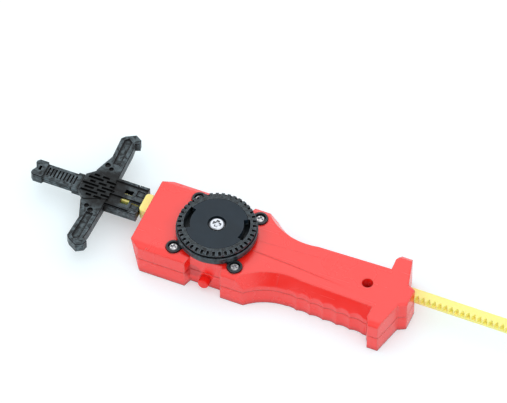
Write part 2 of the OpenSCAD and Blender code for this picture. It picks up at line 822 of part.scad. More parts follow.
// Rounded block that stops the blade at the nose
module stop_shoulder() {
    round_r = wall;
    translate([hilt_x, blade_mid_y - shoulder_half, shoulder_z]) {
        box([0, round_r, 0], [shoulder_len, shoulder_half * 2 - round_r, shoulder_h]);
        box([round_r, 0, 0], [shoulder_len - round_r, shoulder_half * 2, shoulder_h]);
        for (x = [round_r, shoulder_len - round_r], y = [round_r, shoulder_half * 2 - round_r])
            translate([x, y, 0]) cylinder(r = round_r, h = shoulder_h);
    }
}

// Hilt sizes that both halves share
peg_r = 1.5;
peg_back = socket_len - wall * 2;
hilt_half_t = hilt_t / 2;
relief = hilt_half_t / 4;
hilt_screw_r = screw_r * 0.7;
hilt_screw_head_r = screw_head_r * 0.75 - slide_gap;
hilt_screw_sink = wall * 0.7;
tang_pocket_t = hilt_t - wall * 1.25 + seat_gap * 2;
guard_len = arm_w * 1.44;
handle_x = socket_len + guard_len - wall;
pommel_x = handle_x + handle_len - pommel_len / 2;
hilt_screw_places = [
    [socket_len + arm_w * 0.62, arm_reach * 0.37], [socket_len + arm_w * 0.62, -arm_reach * 0.37],
    [handle_x + handle_len * 0.1, 0]
];

// Hilt frame: X runs from the blade's shoulder to the pommel
module in_hilt() {
    translate([hilt_x, blade_mid_y, hilt_mid_z]) mirror([1, 0, 0]) children();
}

function arm_points(shares, side) = [
    for (s = shares) [socket_len + s.x * arm_w - wall / 2, side * s.y * arm_reach]
];

module hilt_outline() {
    for (side = [-1, 1]) polygon(arm_points(arm_shares, side));
    translate([0, -socket_half]) square([socket_len + wall, socket_half * 2]);
    translate([socket_len, -handle_half * 1.5]) square([guard_len, handle_half * 3]);
    translate([handle_x, -handle_half - wall / 2]) square([handle_len * 0.3, handle_half * 2 + wall]);
    translate([handle_x, -handle_half]) square([handle_len, handle_half * 2]);
    pommel_outline();
}

module pommel_outline() {
    bite = pommel_len / 5;
    polygon([
        [pommel_x, -pommel_half + bite], [pommel_x + bite / 2, -pommel_half],
        [pommel_x + pommel_len - bite, -pommel_half], [pommel_x + pommel_len, -pommel_half + bite],
        [pommel_x + pommel_len, -pommel_half / 2], [pommel_x + pommel_len - bite, 0],
        [pommel_x + pommel_len, pommel_half / 2], [pommel_x + pommel_len, pommel_half - bite],
        [pommel_x + pommel_len - bite, pommel_half], [pommel_x + bite / 2, pommel_half],
        [pommel_x, pommel_half - bite]
    ]);
}

// What stands proud of the hilt: the arms' rims, the socket's rails and the pommel
module raised_outline() {
    for (side = [-1, 1]) {
        difference() {
            polygon(arm_points(arm_shares, side));
            polygon(arm_points(arm_channel_shares, side));
        }
        translate([0, side * (socket_half - wall / 2) - wall / 2])
            square([socket_len + wall, wall]);
    }
    pommel_outline();
}

// Half of the hilt above its middle plane, before the pieces that only one half has
module hilt_half() {
    difference() {
        union() {
            linear_extrude(hilt_half_t - relief) offset(delta = -seam) hilt_outline();
            translate([0, 0, seam]) linear_extrude(hilt_half_t - relief - seam) hilt_outline();
            linear_extrude(hilt_half_t - relief / 2) raised_outline();
            linear_extrude(hilt_half_t) offset(delta = -relief / 2) raised_outline();
        }
        box([-cut, -(blade_mid_y - blade_front_y), -cut],
            [peg_back + wall, blade_mid_y - blade_front_y, tang_pocket_t / 2]);
    }
}

// Cut down into the socket over the shares of its length and half width
module socket_cut(shares, low_z) {
    box([socket_len * shares[0], socket_half * shares[2], low_z],
        [socket_len * shares[1], socket_half * shares[3], hilt_t]);
}

module guard_grooves() {
    half = wall * 0.36;
    for (s = groove_shares)
        box([socket_len + s[1] * arm_w, s[0] * arm_reach - half, hilt_half_t - relief],
            [socket_len + s[2] * arm_w, s[0] * arm_reach + half, hilt_t]);
}

// Recessed panel of the handle with its cross slots
module handle_panel() {
    panel_x0 = handle_x + handle_len * handle_panel_shares[0];
    half = handle_half * handle_panel_shares[1];
    pitch = (pommel_x - panel_x0) / (handle_slots + 0.5);
    box([panel_x0 + half, -half, hilt_half_t - relief], [pommel_x - wall / 4, half, hilt_t]);
    translate([panel_x0 + half, 0, hilt_half_t - relief]) cylinder(r = half, h = relief * 2);
    for (i = [0.5:handle_slots])
        box([panel_x0 + pitch * i, -half, hilt_half_t - relief * 2.2],
            [panel_x0 + pitch * (i + 0.5), half, hilt_t]);
}

module hilt_upper_shell() {
    color(black) in_hilt() difference() {
        union() {
            hilt_half();
            linear_extrude(hilt_half_t + relief / 2)
                polygon([for (s = guard_shares) [socket_len + s.x * arm_w, s.y * arm_reach]]);
            box([0, -socket_half / 8, tang_pocket_t / 2], [socket_len, socket_half / 8, hilt_half_t]);
        }
        sides() {
            socket_cut(window_shares, -cut);
            socket_cut(dip_shares, hilt_half_t - relief * 1.6);
        }
        translate([socket_len * rail_hole_shares[0], socket_half * rail_hole_shares[1], hilt_half_t])
            cylinder(r = wall * 0.4, h = relief * 4, center = true);
        socket_cut(rail_slot_shares, hilt_half_t - relief * 1.8);
        for (s = arm_pocket_shares)
            translate([socket_len + s.x * arm_w - wall / 2, s.y * arm_reach, hilt_half_t - relief * 1.3])
                cylinder(r = wall * s.z, h = relief * 2);
        guard_grooves();
        handle_panel();
        box([pommel_x + pommel_len * pommel_hole_shares[0], -pommel_half * pommel_hole_shares[2], -cut],
            [pommel_x + pommel_len * pommel_hole_shares[1], pommel_half * pommel_hole_shares[2], hilt_t]);
        for (p = hilt_screw_places)
            translate([p.x, p.y, -cut]) cylinder(r = hilt_screw_r + turn_gap, h = wall * 0.8 + cut);
    }
}

module hilt_lower_shell() {
    color(black) in_hilt() {
        mirror([0, 0, 1]) difference() {
            hilt_half();
            for (p = hilt_screw_places) translate([p.x, p.y, 0]) {
                translate([0, 0, -cut]) cylinder(r = hilt_screw_r + turn_gap, h = hilt_t);
                translate([0, 0, hilt_half_t - hilt_screw_sink])
                    cylinder(r = hilt_screw_head_r + slide_gap, h = hilt_t);
            }
        }
        translate([peg_back, 0, -tang_pocket_t / 2 - wall / 8])
            cylinder(r = peg_r, h = tang_pocket_t + wall / 8 - seat_gap);
    }
}

module hilt_screws() {
    color(steel) in_hilt() for (p = hilt_screw_places)
        translate([p.x, p.y, hilt_screw_sink - hilt_half_t]) mirror([0, 0, 1])
            screw(hilt_screw_head_r, wall / 2, hilt_screw_r, hilt_half_t - hilt_screw_sink + wall * 0.75);
}

module lock_button() {
    color(red) {
        difference() {
            on_button_axis(notch_half + button_out) cylinder(r = button_r, h = button_out + wall + slide_gap);
            on_button_axis(notch_half + button_out + cut) difference() {
                cylinder(r = button_r + cut, h = cut + edge_bevel);
                cylinder(r1 = button_r - edge_bevel - cut, r2 = button_r, h = cut + edge_bevel);
            }
        }
        on_button_axis(collar_y) cylinder(r = collar_r, h = collar_t);
        on_button_axis(collar_y) cylinder(r = stem_r, h = collar_y - stem_tip_y);
    }
}

// Coil round the button's stem, as one unbroken tube
function coil_point(a) = [
    polar(spring_r, a).x, polar(spring_r, a).y,
    spring_wire_r + (spring_l - spring_wire_r * 2) * a / (spring_turns * 360)
];
coil_sides = 6;
coil_step = 24;
function coil_ring(a) = [
    for (k = [0:coil_sides - 1])
        let (s = polar(spring_wire_r, k * 360 / coil_sides)) coil_point(a) + [s.x * cos(a), s.x * sin(a), s.y]
];

module button_spring() {
    rings = [for (a = [0:coil_step:spring_turns * 360]) coil_ring(a)];
    n = coil_sides;
    last = (len(rings) - 1) * n;
    faces = concat(
        [[for (i = [n - 1:-1:0]) i]],
        [for (k = [0:len(rings) - 2], i = [0:n - 1])
            let (a = k * n + i, b = k * n + (i + 1) % n) each [[a, b, b + n], [a, b + n, a + n]]],
        [[for (i = [0:n - 1]) last + i]]
    );
    color(steel) on_button_axis(spring_y + spring_l) polyhedron([for (r = rings) each r], faces);
}

lower_shell();
upper_shell();
turntable_base();
corner_screws();
grip_screw();
lower_bush();
upper_bush();
rack_blade();
hilt_upper_shell();
hilt_lower_shell();
hilt_screws();
drive_shaft();
pinion_gear();
ratchet_wheel();
centre_washer();
centre_screw();
driver_disc();
driver_rim();
pawl_ring();
lock_button();
button_spring();
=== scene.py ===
"""Looks of a sword-shaped spinning top launcher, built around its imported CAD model."""

import math

import bpy  # noqa: E402
from bpy.props import FloatProperty, FloatVectorProperty, PointerProperty  # noqa: E402
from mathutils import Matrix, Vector  # noqa: E402


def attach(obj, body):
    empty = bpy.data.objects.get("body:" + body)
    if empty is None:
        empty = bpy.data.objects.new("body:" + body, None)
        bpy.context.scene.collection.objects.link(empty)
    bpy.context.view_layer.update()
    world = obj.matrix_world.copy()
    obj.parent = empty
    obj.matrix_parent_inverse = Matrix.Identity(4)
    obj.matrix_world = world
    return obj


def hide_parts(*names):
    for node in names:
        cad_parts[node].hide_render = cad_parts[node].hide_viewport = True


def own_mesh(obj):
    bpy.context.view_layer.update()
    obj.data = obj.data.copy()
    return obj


bl_info = {
    "name": "Spinning top launcher",
    "version": (1, 0, 0),
    "blender": (4, 5, 0),
    "location": "View3D > Sidebar > Launcher",
    "description": "Finishes the launcher's moulded, toothed and metal pieces and lights them",
    "category": "Add Mesh",
}

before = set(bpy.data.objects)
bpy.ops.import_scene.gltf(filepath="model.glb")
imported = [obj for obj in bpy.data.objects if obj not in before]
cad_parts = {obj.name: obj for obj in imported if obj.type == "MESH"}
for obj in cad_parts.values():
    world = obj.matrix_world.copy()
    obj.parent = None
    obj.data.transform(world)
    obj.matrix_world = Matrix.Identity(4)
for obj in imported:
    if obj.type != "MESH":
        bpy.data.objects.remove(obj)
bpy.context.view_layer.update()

MM = 0.001

# Directions from the object: to the large lamp, to the room's brighter front and to a dark gap there
WINDOW = (-0.24, 0.57, 0.784)
FRONT = (-0.35, -0.72, 0.6)
DARK_GAP = (-0.1, -0.985, 0.14)
# Cosines of the angles off the gap's middle at which it starts to darken and is wholly dark
GAP_RIM, GAP_CORE = 0.66, 0.88

# Rays that feel out each softened edge and each inner corner
EDGE_SAMPLES = 6
# Turn of the surface, as 1 minus its cosine, over which edge wear and painted highlight grow to their
# full strength
WEAR_AND_HIGHLIGHT_SPAN = 0.067
# How much less open than a bare spot a corner is where its painted shade is full
PAINTED_SHADE_SPAN = 0.24
# Strength of the painted shade that deepens the colour where a piece meets the ground
GROUND_SHADE_DEPTH = 0.9
# Share of a painted shade patch's radius that is wholly dark
SHADE_PATCH_CORE = 0.7


# Shader building blocks


def linear(colour):
    """A colour as it is seen on screen, as the shader's linear values."""
    parts = [c / 12.92 if c <= 0.04045 else ((c + 0.055) / 1.055) ** 2.4 for c in colour]
    return (*parts, 1.0)


def add(tree, kind, values=None, **settings):
    """A new node with its settings and the values of its own sockets."""
    node = tree.nodes.new(kind)
    for name, value in settings.items():
        setattr(node, name, value)
    for name, value in (values or {}).items():
        node.inputs[name].default_value = value
    return node


def math_node(tree, operation, first, second=None, clamp=False):
    """A Math node whose operands are sockets or numbers; gives its output socket."""
    node = add(tree, "ShaderNodeMath", operation=operation, use_clamp=clamp)
    for slot, value in zip(node.inputs, (first, second)):
        if value is None:
            continue
        if isinstance(value, (int, float)):
            slot.default_value = value
        else:
            tree.links.new(value, slot)
    return node.outputs[0]


def spread(tree, value, low, high, to_low=0.0, to_high=1.0):
    """Maps a value from one span to another and holds it there."""
    node = add(
        tree,
        "ShaderNodeMapRange",
        {"From Min": low, "From Max": high, "To Min": to_low, "To Max": to_high},
    )
    tree.links.new(value, node.inputs["Value"])
    return node.outputs["Result"]


def blend_colour(tree, mask, first, second):
    """Mixes two colours, each a socket or a linear colour, by a mask."""
    node = add(tree, "ShaderNodeMix", data_type="RGBA")
    tree.links.new(mask, node.inputs["Factor"])
    ends = [slot for slot in node.inputs if slot.type == "RGBA"]
    for slot, value in zip(ends, (first, second)):
        if isinstance(value, tuple):
            slot.default_value = value
        else:
            tree.links.new(value, slot)
    return next(slot for slot in node.outputs if slot.type == "RGBA")


def blend_number(tree, mask, first, second):
    """Mixes two numbers, each a socket or a constant, by a mask."""
    node = add(tree, "ShaderNodeMix", data_type="FLOAT")
    tree.links.new(mask, node.inputs["Factor"])
    ends = [slot for slot in node.inputs if slot.type == "VALUE" and slot.name in ("A", "B")]
    for slot, value in zip(ends, (first, second)):
        if isinstance(value, float):
            slot.default_value = value
        else:
            tree.links.new(value, slot)
    return node.outputs["Result"]


def effect(name, inputs, outputs):
    """An empty shader node group with named sockets, and its two end nodes; Rounded is a normal."""
    tree = bpy.data.node_groups.new(name, "ShaderNodeTree")
    for label, default in inputs:
        socket = tree.interface.new_socket(label, in_out="INPUT", socket_type="NodeSocketFloat")
        socket.default_value = default
    for label in outputs:
        kind = "NodeSocketVector" if label == "Rounded" else "NodeSocketFloat"
        tree.interface.new_socket(label, in_out="OUTPUT", socket_type=kind)
    return tree, tree.nodes.new("NodeGroupInput"), tree.nodes.new("NodeGroupOutput")


def moulded_grain():
    """Fine spark-eroded grain of a moulded skin, and the slow swirl in its colour."""
    tree, given, out = effect(
        "moulded_grain", [("Grain Scale", 2600.0), ("Swirl Scale", 90.0)], ["Height", "Swirl"]
    )
    where = add(tree, "ShaderNodeTexCoord")
    grain = add(tree, "ShaderNodeTexNoise", {"Detail": 2.0, "Roughness": 0.6})
    swirl = add(tree, "ShaderNodeTexNoise", {"Detail": 3.0, "Roughness": 0.5, "Distortion": 0.6})
    for noise, label in ((grain, "Grain Scale"), (swirl, "Swirl Scale")):
        tree.links.new(where.outputs["Object"], noise.inputs["Vector"])
        tree.links.new(given.outputs[label], noise.inputs["Scale"])
    grain_span, swirl_span = (0.3, 0.7), (0.35, 0.65)
    tree.links.new(spread(tree, grain.outputs["Fac"], *grain_span), out.inputs["Height"])
    tree.links.new(spread(tree, swirl.outputs["Fac"], *swirl_span), out.inputs["Swirl"])
    return tree


def edge_wear_and_painted_light():
    """Softened outer edges with their wear and painted highlight, and painted shade in inner corners.
    """
    tree, given, out = effect(
        "edge_wear_and_painted_light",
        [
            ("Width", 0.0004),
            ("Turn", 0.003),
            ("Break Up", 0.5),
            ("Reach", 0.002),
            ("Openness", 0.96),
        ],
        ["Rubbed", "Painted_Shade", "Rounded"],
    )
    shape = add(tree, "ShaderNodeNewGeometry")
    rounded = add(tree, "ShaderNodeBevel", samples=EDGE_SAMPLES)
    tree.links.new(given.outputs["Width"], rounded.inputs["Radius"])
    tree.links.new(rounded.outputs["Normal"], out.inputs["Rounded"])
    facing = add(tree, "ShaderNodeVectorMath", operation="DOT_PRODUCT")
    tree.links.new(rounded.outputs["Normal"], facing.inputs[0])
    tree.links.new(shape.outputs["Normal"], facing.inputs[1])
    turned = math_node(tree, "SUBTRACT", 1.0, facing.outputs["Value"])
    past_turn = math_node(tree, "SUBTRACT", turned, given.outputs["Turn"])
    near_edge = spread(tree, past_turn, 0.0, WEAR_AND_HIGHLIGHT_SPAN)
    # Painted shade: the less open a corner is to light, the more it darkens
    corner = add(tree, "ShaderNodeAmbientOcclusion", samples=EDGE_SAMPLES)
    tree.links.new(given.outputs["Reach"], corner.inputs["Distance"])
    buried = math_node(tree, "SUBTRACT", given.outputs["Openness"], corner.outputs["AO"])
    open_air = spread(tree, buried, PAINTED_SHADE_SPAN, 0.0)
    where = add(tree, "ShaderNodeTexCoord")
    patches = add(tree, "ShaderNodeTexNoise", {"Scale": 420.0, "Detail": 4.0, "Roughness": 0.65})
    tree.links.new(where.outputs["Object"], patches.inputs["Vector"])
    held = math_node(tree, "MULTIPLY", given.outputs["Break Up"], patches.outputs["Fac"])
    kept = math_node(tree, "SUBTRACT", 1.0, held, clamp=True)
    # Edge wear and painted highlight: bent edges that are open lighten
    wear_and_highlight = math_node(tree, "MULTIPLY", near_edge, open_air)
    tree.links.new(math_node(tree, "MULTIPLY", wear_and_highlight, kept), out.inputs["Rubbed"])
    tree.links.new(math_node(tree, "SUBTRACT", 1.0, open_air), out.inputs["Painted_Shade"])
    return tree


def handling_marks():
    """Hairline scratches along the piece and the dull patches that hands leave."""
    tree, given, out = effect(
        "handling_marks", [("Scratch Scale", 900.0), ("Smudge Scale", 55.0)], ["Scratch", "Smudge"]
    )
    where = add(tree, "ShaderNodeTexCoord")
    drawn_out = add(
        tree, "ShaderNodeMapping", {"Scale": (0.05, 1.0, 1.0), "Rotation": (0.0, 0.0, 0.35)}
    )
    tree.links.new(where.outputs["Object"], drawn_out.inputs["Vector"])
    scratch = add(tree, "ShaderNodeTexNoise", {"Detail": 2.0, "Roughness": 0.5})
    tree.links.new(drawn_out.outputs["Vector"], scratch.inputs["Vector"])
    tree.links.new(given.outputs["Scratch Scale"], scratch.inputs["Scale"])
    smudge = add(tree, "ShaderNodeTexNoise", {"Detail": 4.0, "Roughness": 0.55, "Distortion": 0.8})
    tree.links.new(where.outputs["Object"], smudge.inputs["Vector"])
    tree.links.new(given.outputs["Smudge Scale"], smudge.inputs["Scale"])
    scratch_span, smudge_span = (0.66, 0.74), (0.42, 0.68)
    tree.links.new(spread(tree, scratch.outputs["Fac"], *scratch_span), out.inputs["Scratch"])
    tree.links.new(spread(tree, smudge.outputs["Fac"], *smudge_span), out.inputs["Smudge"])
    return tree


def turned_rings():
    """Fine rings round the driver's axis, as a turned mould leaves them."""
    tree, given, out = effect("turned_rings", [("Pitch", 0.0006)], ["Height"])
    where = add(tree, "ShaderNodeTexCoord")
    parts = add(tree, "ShaderNodeSeparateXYZ")
    tree.links.new(where.outputs["Object"], parts.inputs["Vector"])
    flat = add(tree, "ShaderNodeCombineXYZ")
    tree.links.new(parts.outputs["X"], flat.inputs["X"])
    tree.links.new(parts.outputs["Y"], flat.inputs["Y"])
    radius = add(tree, "ShaderNodeVectorMath", operation="LENGTH")
    tree.links.new(flat.outputs["Vector"], radius.inputs[0])
    turns = math_node(tree, "DIVIDE", radius.outputs["Value"], given.outputs["Pitch"])
    wave = math_node(tree, "SINE", math_node(tree, "MULTIPLY", turns, math.tau))
    tree.links.new(spread(tree, wave, -1.0, 1.0), out.inputs["Height"])
    return tree


# Effects made so far, each under the function that makes it
EFFECTS = {}


def place(tree, effect_maker, **values):
    """Puts a shared effect, made once, in a material with that material's own values."""
    if effect_maker not in EFFECTS:
        EFFECTS[effect_maker] = effect_maker()
    node = add(tree, "ShaderNodeGroup", node_tree=EFFECTS[effect_maker])
    for label, value in values.items():
        node.inputs[label.replace("_", " ")].default_value = value
    return node


def bump(tree, height, strength, distance, under=None):
    """A normal raised by a height, on top of another normal if one is given."""
    node = add(tree, "ShaderNodeBump", {"Strength": strength, "Distance": distance})
    tree.links.new(height, node.inputs["Height"])
    if under is not None:
        tree.links.new(under, node.inputs["Normal"])
    return node.outputs["Normal"]


def new_material(name):
    """A material with its node tree and its main shader."""
    material = bpy.data.materials.new(name)
    material.use_nodes = True
    tree = material.node_tree
    return material, tree, tree.nodes["Principled BSDF"]


def patch(tree, middle, radius, depth):
    """A soft-edged mask round a point of the piece."""
    where = add(tree, "ShaderNodeTexCoord")
    away = add(tree, "ShaderNodeVectorMath", operation="DISTANCE")
    tree.links.new(where.outputs["Object"], away.inputs[0])
    away.inputs[1].default_value = middle
    return spread(tree, away.outputs["Value"], radius, SHADE_PATCH_CORE * radius, 0.0, depth)


def low_down(tree, height):
    """A mask that grows from a height down to the ground."""
    where = add(tree, "ShaderNodeTexCoord")
    parts = add(tree, "ShaderNodeSeparateXYZ")
    tree.links.new(where.outputs["Object"], parts.inputs["Vector"])
    return spread(tree, parts.outputs["Z"], height, 0.0, 0.0, GROUND_SHADE_DEPTH)


def plastic(
    name,
    tones,
    edge,
    roughness,
    gloss=0.5,
    grain=0.2,
    wear_and_highlight_amount=0.5,
    turn=0.003,
    swirl=0.15,
    swirl_scale=90.0,
    reach=1.6 * MM,
    corner_shade=0.55,
    openness=0.96,
    rings=0.0,
    painted_shade_patch=None,
    ground_shade_height=0.0,
):
    """Moulded plastic in its main tone, a deep tone for its swirl and its painted shade, and a lighter
    tone for edge wear and painted highlight.

    - edge: width of its softened edges
    - roughness, gloss: roughness before handling, and strength of its reflections
    - grain, rings: strength of its grain and of turned rings
    - turn, wear_and_highlight_amount: how far the surface must bend at an edge for edge wear and
      painted highlight, and how strong they are
    - swirl, swirl_scale: strength and fineness of the slow change in its colour
    - reach, corner_shade, openness: how far the painted shade in corners reaches, how dark it is, and
      how open a bare spot must be
    - painted_shade_patch: middle, radius and depth of a patch of painted shade
    - ground_shade_height: height below which painted shade deepens the colour towards the ground
    """
    grain_height, ring_height, ring_pitch = 0.05 * MM, 0.03 * MM, 0.6 * MM
    marks_dulling = 0.1
    colour, deep_and_shade, wear_and_highlight = (linear(shade) for shade in tones)
    material, tree, skin = new_material(name)
    moulded = place(tree, moulded_grain, Grain_Scale=2600.0, Swirl_Scale=swirl_scale)
    edges = place(tree, edge_wear_and_painted_light, Width=edge, Turn=turn, Break_Up=0.6, Reach=reach, Openness=openness)
    marks = place(tree, handling_marks, Scratch_Scale=900.0, Smudge_Scale=55.0)
    clouded = math_node(tree, "MULTIPLY", moulded.outputs["Swirl"], swirl)
    corner_shade_mix = math_node(tree, "MULTIPLY", edges.outputs["Painted_Shade"], corner_shade)
    wear_and_highlight_mix = math_node(tree, "MULTIPLY", edges.outputs["Rubbed"], wear_and_highlight_amount)
    paint = blend_colour(tree, clouded, colour, deep_and_shade)
    # Painted shade darkens the less open corners to the deep tone
    paint = blend_colour(tree, corner_shade_mix, paint, deep_and_shade)
    # Edge wear and painted highlight lighten the open edges
    paint = blend_colour(tree, wear_and_highlight_mix, paint, wear_and_highlight)
    # A patch of painted shade round a point
    if painted_shade_patch is not None:
        paint = blend_colour(tree, patch(tree, *painted_shade_patch), paint, deep_and_shade)
    # Painted shade near the ground, darker towards the bottom
    if ground_shade_height:
        paint = blend_colour(tree, low_down(tree, ground_shade_height), paint, deep_and_shade)
    tree.links.new(paint, skin.inputs["Base Color"])
    dull = math_node(tree, "MULTIPLY", marks.outputs["Smudge"], marks_dulling)
    fine = math_node(tree, "MULTIPLY", marks.outputs["Scratch"], marks_dulling)
    rough = math_node(tree, "ADD", math_node(tree, "ADD", dull, fine), roughness, clamp=True)
    tree.links.new(rough, skin.inputs["Roughness"])
    skin.inputs["Specular IOR Level"].default_value = gloss
    normal = bump(tree, moulded.outputs["Height"], grain, grain_height, edges.outputs["Rounded"])
    if rings:
        turned = place(tree, turned_rings, Pitch=ring_pitch)
        normal = bump(tree, turned.outputs["Height"], rings, ring_height, normal)
    tree.links.new(normal, skin.inputs["Normal"])
    return material


def metal(name, colour, deep_and_shade, edge, roughness, metallic=1.0):
    """Plated steel with hairline scratches and painted shade in its recesses."""
    corner_shade, cloud_dulling, scratch_dulling = 0.95, 0.12, 0.15
    grain, grain_height = 0.12, 0.02 * MM
    material, tree, skin = new_material(name)
    edges = place(tree, edge_wear_and_painted_light, Width=edge, Break_Up=0.4, Reach=1.3 * MM)
    marks = place(tree, handling_marks, Scratch_Scale=2200.0, Smudge_Scale=400.0)
    plating = place(tree, moulded_grain, Grain_Scale=5200.0, Swirl_Scale=700.0)
    # Painted shade darkens the recesses
    corner_shade_mix = math_node(tree, "MULTIPLY", edges.outputs["Painted_Shade"], corner_shade, clamp=True)
    paint = blend_colour(tree, corner_shade_mix, linear(colour), linear(deep_and_shade))
    tree.links.new(paint, skin.inputs["Base Color"])
    clouded = math_node(tree, "MULTIPLY", plating.outputs["Swirl"], cloud_dulling)
    scratched = math_node(tree, "MULTIPLY", marks.outputs["Scratch"], scratch_dulling)
    marked = math_node(tree, "ADD", clouded, scratched)
    rough = math_node(tree, "ADD", marked, roughness, clamp=True)
    tree.links.new(rough, skin.inputs["Roughness"])
    skin.inputs["Metallic"].default_value = metallic
    normal = bump(tree, plating.outputs["Height"], grain, grain_height, edges.outputs["Rounded"])
    tree.links.new(normal, skin.inputs["Normal"])
    return material


def coat(piece, material):
    """Makes a material a piece's only one."""
    piece.data.materials.clear()
    piece.data.materials.append(material)


def finish_nodes(material, *names):
    """Gives CAD nodes their material."""
    for name in names:
        coat(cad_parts[name], material)


# Settings


def tone(name, description, colour):
    """A colour setting, as the colour is seen on screen."""
    return FloatVectorProperty(
        name=name, description=description, subtype="COLOR_GAMMA", default=colour, min=0, max=1
    )


def length(name, description, size):
    """A length setting."""
    return FloatProperty(
        name=name, description=description, subtype="DISTANCE", default=size, min=0
    )


def amount(name, description, value):
    """A setting for a strength or a lamp's power."""
    return FloatProperty(name=name, description=description, default=value, min=0)


class LauncherColours(bpy.types.PropertyGroup):
    """Colours of the launcher, as they are seen on screen."""

    red: tone("Red", "Body shells", (0.985, 0.14, 0.1))
    # Deep red of the swirl and of the painted shade in corners, patches and near the ground
    red_deep_and_shade: tone("Deep red", "Red in recesses", (0.8, 0.05, 0.035))
    # Lighter red of edge wear and painted highlight
    red_wear_and_highlight: tone("Rubbed red", "Red on rubbed edges", (1.0, 0.52, 0.48))
    black: tone("Black", "Turntable base", (0.17, 0.2, 0.215))
    rim: tone("Rim", "Notched rim of the driver", (0.245, 0.29, 0.31))
    # Lighter black of edge wear and painted highlight
    black_wear_and_highlight: tone("Rubbed black", "Black on rubbed edges", (0.5, 0.54, 0.58))
    slate: tone("Slate", "Face of the driver", (0.09, 0.155, 0.2))
    charcoal: tone("Charcoal", "Hilt", (0.51, 0.58, 0.605))
    yellow: tone("Yellow", "Toothed blade", (1.0, 0.955, 0.575))
    # Ochre of the swirl and of the painted shade between the teeth
    ochre_swirl_and_shade: tone("Ochre", "Yellow between the teeth", (0.95, 0.83, 0.36))
    ivory: tone("Ivory", "Natural plastic of the gear train", (0.9, 0.88, 0.81))
    steel: tone("Steel", "Screws, shaft and spring", (0.86, 0.88, 0.91))


class LauncherEdges(bpy.types.PropertyGroup):
    """Widths of the softened edges."""

    shell: length("Shell edges", "Rounding of the body shells", 1.4 * MM)
    driver: length("Driver edges", "Rounding of driver face, turntable and button", 0.22 * MM)
    rim: length("Rim edges", "Rounding of the driver's notched rim", 0.35 * MM)
    blade: length("Blade edges", "Rounding of the blade and its teeth", 0.25 * MM)
    hilt: length("Hilt edges", "Rounding of the hilt", 0.35 * MM)
    fine: length("Fine edges", "Rounding of screws and gears", 0.1 * MM)


class LauncherStudio(bpy.types.PropertyGroup):
    """Camera and lamps."""

    azimuth: FloatProperty(
        name="Azimuth",
        description="Turn of the camera round the object",
        subtype="ANGLE",
        default=math.radians(22.8),
    )
    elevation: FloatProperty(
        name="Elevation",
        description="Height of the camera above the horizon",
        subtype="ANGLE",
        default=math.radians(51.6),
    )
    distance: length("Distance", "From the camera to what it looks at", 2.6)
    view_width: length("View width", "Width that the picture takes in", 0.2678)
    aim: FloatVectorProperty(
        name="Aim",
        description="Point in the middle of the picture",
        subtype="XYZ",
        unit="LENGTH",
        default=(0.0031, 0.0416, 0.0),
    )
    key: amount("Key lamp", "Power of the large lamp in watts", 1.5)
    fill: amount("Fill lamp", "Power of the lamp by the camera in watts", 1.0)
    sky: amount("Sky", "Strength of the surrounding light", 0.94)
    front: amount("Front", "Added light from the room's front", 0.24)
    gap: amount("Gap", "Strength left in the gap that bevels mirror", 0.0)
    glow: amount("Glow", "How far the floor is lifted to white", 0.31)
    floor: tone("Floor", "Colour of the floor", (0.84, 0.9, 0.915))


# Pieces


class LAUNCHER_OT_body_shells(bpy.types.Operator):
    """Finishes the two red body shells"""

    bl_idname = "launcher.body_shells"
    bl_label = "Body shells"

    def execute(self, context):
        colours, edges = context.scene.launcher_colours, context.scene.launcher_edges
        # Middle of the painted shade in the notch under the driver's rim
        notch_shade_middle = (-0.0052, -0.02, 0.0095)
        red = plastic(
            "red_shell_plastic",
            (colours.red, colours.red_deep_and_shade, colours.red_wear_and_highlight),
            edges.shell,
            roughness=0.2,
            gloss=1.0,
            wear_and_highlight_amount=0.9,
            turn=0.16,
            swirl=0.06,
            reach=3.0 * MM,
            corner_shade=0.35,
            openness=0.58,
            # Painted shade in the notch
            painted_shade_patch=(notch_shade_middle, 5.2 * MM, 0.85),
            # Painted shade darkening the walls towards the ground
            ground_shade_height=3.5 * MM,
        )
        finish_nodes(red, "lower_shell", "upper_shell")
        return {"FINISHED"}


class LAUNCHER_OT_side_button(bpy.types.Operator):
    """Finishes the small round button in the side notch"""

    bl_idname = "launcher.side_button"
    bl_label = "Side button"

    def execute(self, context):
        colours, edges = context.scene.launcher_colours, context.scene.launcher_edges
        red = plastic(
            "button_plastic",
            (colours.red, colours.red_deep_and_shade, colours.red_wear_and_highlight),
            edges.driver,
            roughness=0.26,
            grain=0.1,
            swirl=0.35,
        )
        finish_nodes(red, "lock_button")
        return {"FINISHED"}


